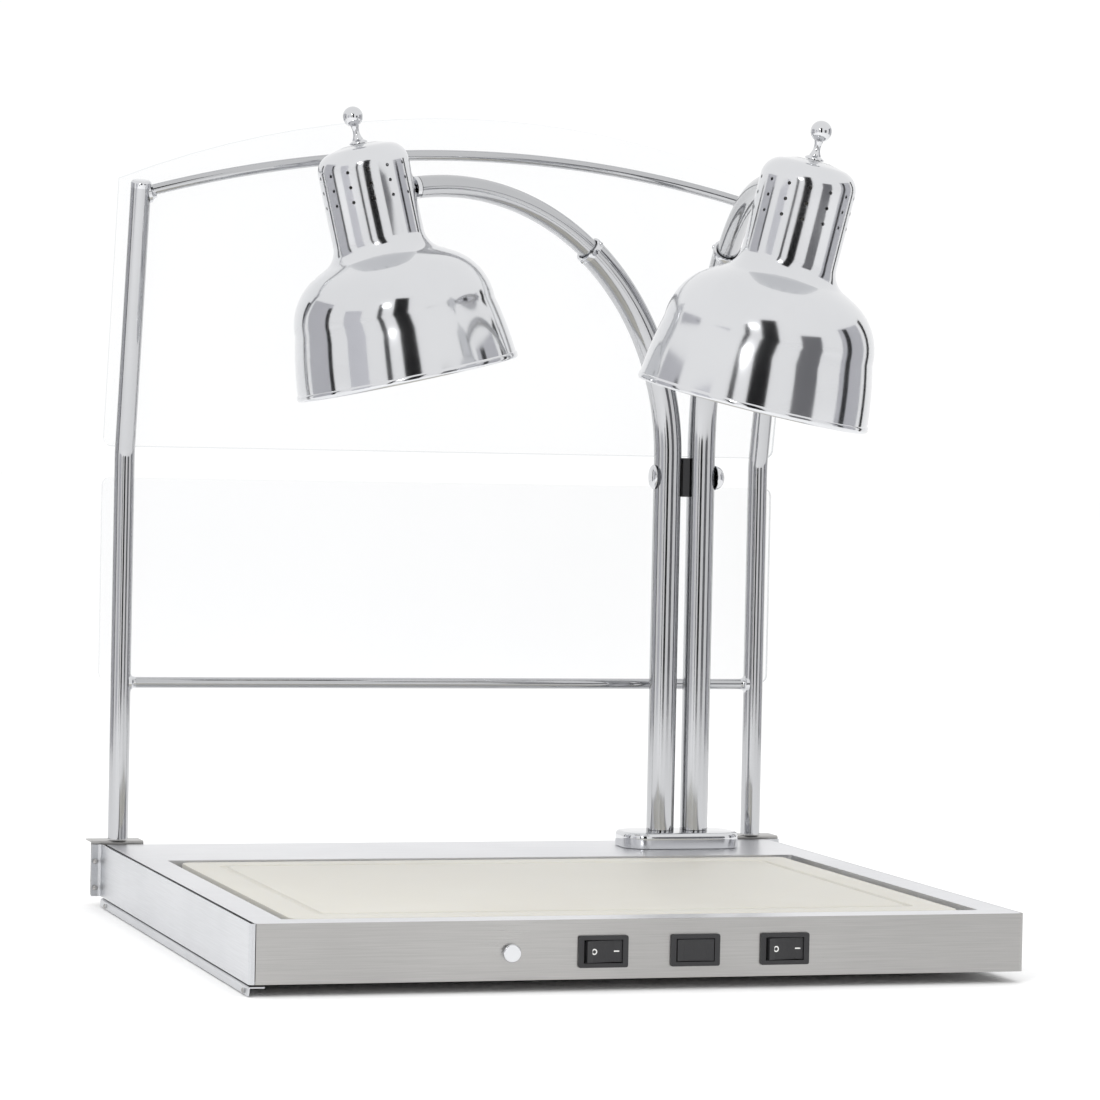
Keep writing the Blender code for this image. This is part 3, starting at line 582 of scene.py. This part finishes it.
def build_board():
    """Cutting board with eased edges and a rounded juice groove."""
    half_x, half_y, thick, corner = 0.3048, 0.2286, 0.0127, 0.010
    low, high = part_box("cutting_board")
    centre = (low + high) / 2
    steps = [(0.0012, 0), (0.0003, 0.0004), (0, 0.0012), (0, thick - 0.0014),
             (0.0004, thick - 0.0004), (0.0014, thick), (0.0294, thick), (0.0300, thick - 0.0003),
             (0.0306, thick - 0.0014), (0.0318, thick - 0.0024), (0.0335, thick - 0.0028),
             (0.0352, thick - 0.0024), (0.0364, thick - 0.0014), (0.0370, thick - 0.0003),
             (0.0376, thick)]
    bm = bmesh.new()
    rings = []
    for inset, z in steps:
        radius = max(corner - min(inset, 0.0014), 0.004)
        rings.append([bm.verts.new((centre.x + x, centre.y + y, low.z + z)) for x, y in
                      rounded_loop(half_x - inset, half_y - inset, radius)])
    skin(bm, rings)
    board = piece("carving_board", finished(bm, "carving_board"), "board", "polyethylene", sharp=30)
    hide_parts("cutting_board")


def leaning(x, z, behind=0.0):
    rise = (z - POST_BEND_Z) / math.cos(LEAN)
    return Vector((x, POST_Y - rise * math.sin(LEAN) + behind * math.cos(LEAN),
                   POST_BEND_Z + rise * math.cos(LEAN) + behind * math.sin(LEAN)))


def build_guard_details():
    """Welds, end caps, and the screws and spacers that hold the clear panels."""
    caps, beads, fixings = bmesh.new(), bmesh.new(), bmesh.new()
    foot_z = TOP_Z + 0.0046
    for side, name in ((-1, "left"), (1, "right")):
        x = side * POST_X
        shaft = [(x, POST_Y, foot_z + (POST_BEND_Z - 0.0065 - foot_z) * i / 10) for i in range(10)]
        shaft += [(x, POST_Y - 0.06 * (1 - math.cos(t * LEAN)),
                   POST_BEND_Z - 0.0065 + 0.06 * math.sin(t * LEAN))
                  for t in (i / 8 for i in range(9))]
        shaft.append(leaning(x, POST_TOP_Z))
        tube(f"upright_{name}", shaft, POST_R, "base", f"guard_post_{name}")
    end = POST_X - POST_R - 0.0003
    tube("cross_bar", [(-end + 2 * end * i / 8, POST_Y, LOWER_BAR_Z) for i in range(9)], BAR_R,
         "base", "guard_lower_bar")
    end -= 0.0016
    rise = ARCH_MID_Z - ARCH_END_Z
    radius = (POST_X * POST_X + rise * rise) / (2 * rise)
    arch = []
    for i in range(49):
        x = -end + 2 * end * i / 48
        arch.append(leaning(x, ARCH_MID_Z - radius + math.sqrt(radius * radius - x * x)))
    tube("arched_bar", arch, BAR_R, "base", "guard_top_bar")
    up = Vector((0, -math.sin(LEAN), math.cos(LEAN)))
    back = Vector((0, math.cos(LEAN), math.sin(LEAN)))
    fillet = [(0.0090, -0.0030), (0.0089, 0.0002), (0.0072, 0.0010), (0.0061, 0.0026),
              (0.0055, 0.0050), (0.0040, 0.0050)]
    for side in (-1, 1):
        x = side * POST_X
        cap = [(0, -0.004), (POST_R + 0.0001, -0.004)] + arc((POST_R - 0.0028, 0), 0.0029, 0, 90, 6)
        revolve(caps, cap + [(0, 0.0029)], turned_to(up, leaning(x, POST_TOP_Z)), 48)
        inward = Vector((-side, 0, 0))
        at = Vector((x, POST_Y, LOWER_BAR_Z)) + inward * (POST_R - 0.0004)
        revolve(beads, fillet, turned_to(inward, at), 32)
        slope = (Vector((-side, 0, 0)) + up * 0.28).normalized()
        at = leaning(x, ARCH_END_Z) + inward * (POST_R - 0.0002)
        revolve(beads, fillet, turned_to(slope, at), 32)
        for z in (0.243, 0.402):
            at = Vector((x, POST_Y + POST_R - 0.0005, z))
            revolve(fixings, [(0, 0), (0.0055, 0), (0.0055, 0.0019), (0, 0.0019)],
                    turned_to((0, 1, 0), at), 24)
            at.y = POST_Y + PANEL_SET + PANEL_T + 0.0001
            revolve(fixings, dome(0.0048, 0.0026), turned_to((0, 1, 0), at), 32)
        for z in (0.480, 0.690):
            at = leaning(x, z, POST_R - 0.0005)
            revolve(fixings, [(0, 0), (0.0055, 0), (0.0055, 0.0019), (0, 0.0019)],
                    turned_to(back, at), 24)
            at = leaning(x, z, PANEL_SET + PANEL_T + 0.0001)
            revolve(fixings, dome(0.0048, 0.0026), turned_to(back, at), 32)
    for name, bm in (("post_caps", caps), ("weld_beads", beads), ("panel_fixings", fixings)):
        piece(name, finished(bm, name), "base", "chrome")


def build_ear_screws():
    """Screws of the right ear, the twin of the left ear's."""
    bm = bmesh.new()
    for z in (TOP_Z - 0.0165, TOP_Z - 0.0425):
        socket_screw(bm, Vector((HALF_W + 0.0088, REAR_Y - 0.0008, z)), (0, -1, 0), 0.0034, 0.0024)
    piece("ear_screws_right", finished(bm, "ear_screws_right"), "base", "chrome")


def build_rocker_marks():
    """Moulded ring and bar on the outer two rockers, laid on the paddle's own slopes."""
    for number in (1, 3):
        node = NODES[f"rocker_{number}"]
        mesh = node.data
        tree = BVHTree.FromPolygons([v.co for v in mesh.vertices],
                                    [p.vertices for p in mesh.polygons])
        low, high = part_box(f"rocker_{number}")
        middle = (low + high) / 2
        bm = bmesh.new()
        for across, shape in ((-0.0088, "ring"), (0.0118, "bar")):
            start = Vector((middle.x + across, low.y - 0.05, middle.z))
            place, normal, _, _ = tree.ray_cast(start, Vector((0, 1, 0)))
            axes = turned_to(normal, place)
            if shape == "ring":
                revolve(bm, [(0.0015, -0.0002), (0.0027, -0.0002), (0.0026, 0.00018),
                             (0.0016, 0.00018)], axes, 40, loop=True)
            else:
                side = Vector((1, 0, 0)) - normal * normal.x
                side.normalize()
                rise = normal.cross(side)
                rim = rounded_loop(0.0026, 0.00055, 0.0005, 4)
                skin(bm, [[bm.verts.new(place + side * u + rise * v + normal * w) for u, v in rim]
                          for w in (-0.0002, 0.00018)])
        name = f"rocker_marks_{number}"
        piece(name, finished(bm, name), f"rocker_{number}", "black_plastic", MARK_WHITE)


# ---------------------------------------------------------------- studio
def card(name, azimuth, distance, width, low, high, tone=0.004):
    """Upright card that the plating reflects, at an azimuth from the camera's side of the object."""
    look = Look(f"card_{name}", Roughness=0.9)
    look.shader.inputs["Base Color"].default_value = (tone, tone, tone * 1.05, 1)
    look.shader.inputs["Specular IOR Level"].default_value = 0.0
    turn = math.radians(azimuth) - VIEW_YAW
    spot = Vector((0.05 + distance * math.sin(turn), -distance * math.cos(turn), 0))
    side = Vector((math.cos(turn), math.sin(turn), 0)) * (width / 2)
    mesh = bpy.data.meshes.new(name)
    mesh.from_pydata([spot - side + Vector((0, 0, low)), spot + side + Vector((0, 0, low)),
                      spot + side + Vector((0, 0, high)), spot - side + Vector((0, 0, high))],
                     [], [(0, 1, 2, 3)])
    mesh.materials.append(look.material)
    obj = bpy.data.objects.new(name, mesh)
    bpy.context.scene.collection.objects.link(obj)
    obj.visible_camera = False
    obj.visible_shadow = False
    obj.visible_diffuse = False


def softbox(name, place, target, size, energy, mirrored=False):
    """A round soft light, seen in the plating only where it is mirrored."""
    data = bpy.data.lights.new(name, "AREA")
    data.shape, data.size, data.energy = "DISK", size, energy
    obj = bpy.data.objects.new(name, data)
    obj.visible_glossy = mirrored
    obj.location = place
    obj.rotation_mode = "QUATERNION"
    obj.rotation_quaternion = (Vector(target) - Vector(place)).to_track_quat("-Z", "Y")
    bpy.context.scene.collection.objects.link(obj)


def build_studio():
    look = Look("studio_floor", Roughness=0.9)
    look.shader.inputs["Specular IOR Level"].default_value = 0.1
    paper = look.noise(60, 2)
    look.set("Base Color", look.colours(paper, (0.975, 0.975, 0.975), (0.99, 0.99, 0.99)))
    bm = bmesh.new()
    bmesh.ops.create_circle(bm, cap_ends=True, radius=40, segments=96)
    floor = bpy.data.objects.new("studio_floor", finished(bm, "studio_floor"))
    floor.data.materials.append(look.material)
    bpy.context.scene.collection.objects.link(floor)
    world = bpy.data.worlds.new("studio")
    world.use_nodes = True
    world.node_tree.nodes["Background"].inputs["Color"].default_value = (1, 1, 1, 1)
    world.node_tree.nodes["Background"].inputs["Strength"].default_value = 1.035
    bpy.context.scene.world = world
    bpy.context.scene.view_settings.view_transform = "Standard"
    softbox("key", (-2.2, -2.4, 2.6), (0, 0, 0.3), 1.5, 22)
    softbox("top", (0.3, 0.2, 3.0), (0.05, 0, 0.3), 2.2, 18)
    softbox("spark", (-1.5, -2.6, 1.75), (0, 0, 0.5), 0.30, 9, mirrored=True)
    card("band_wide", 3, 2.6, 0.80, -0.2, 2.3, 0.014)
    card("band_thin", -21, 2.6, 0.24, -0.2, 1.7, 0.05)
    card("grey_right", 46, 2.8, 1.1, -0.2, 1.2, 0.16)
    card("grey_left", -52, 2.8, 1.0, -0.2, 1.25, 0.60)
    card("grey_side_left", -98, 2.5, 1.5, -0.2, 1.6, 0.48)
    card("edge_left", -84, 2.4, 0.22, -0.2, 1.3, 0.02)
    card("edge_left_far", -124, 2.4, 0.26, -0.2, 1.3)
    card("grey_side_right", 100, 2.5, 1.6, -0.2, 1.6, 0.48)
    card("edge_right", 92, 2.4, 0.30, -0.2, 1.5, 0.03)
    card("edge_right_far", 128, 2.4, 0.28, -0.2, 1.5)


add_camera()
dress_frame()
for arm_name, arm_side, arm_heading, arm_end, lamp_swivel, lamp_lean in ARMS:
    lamp_place, lamp_at, lamp_tangent = lamp_axes(arm_side, arm_heading, arm_end, lamp_swivel,
                                                  lamp_lean)
    build_shade(arm_name, lamp_place, lamp_at, lamp_tangent)
    build_knob(arm_name, lamp_place)
    build_bulb(arm_name, lamp_place)
    build_arm(arm_name, arm_side, arm_heading, arm_end)
    build_collar_screws(arm_name, arm_side, arm_heading)
build_stand()
build_button()
build_board()
build_guard_details()
build_ear_screws()
build_rocker_marks()
build_studio()
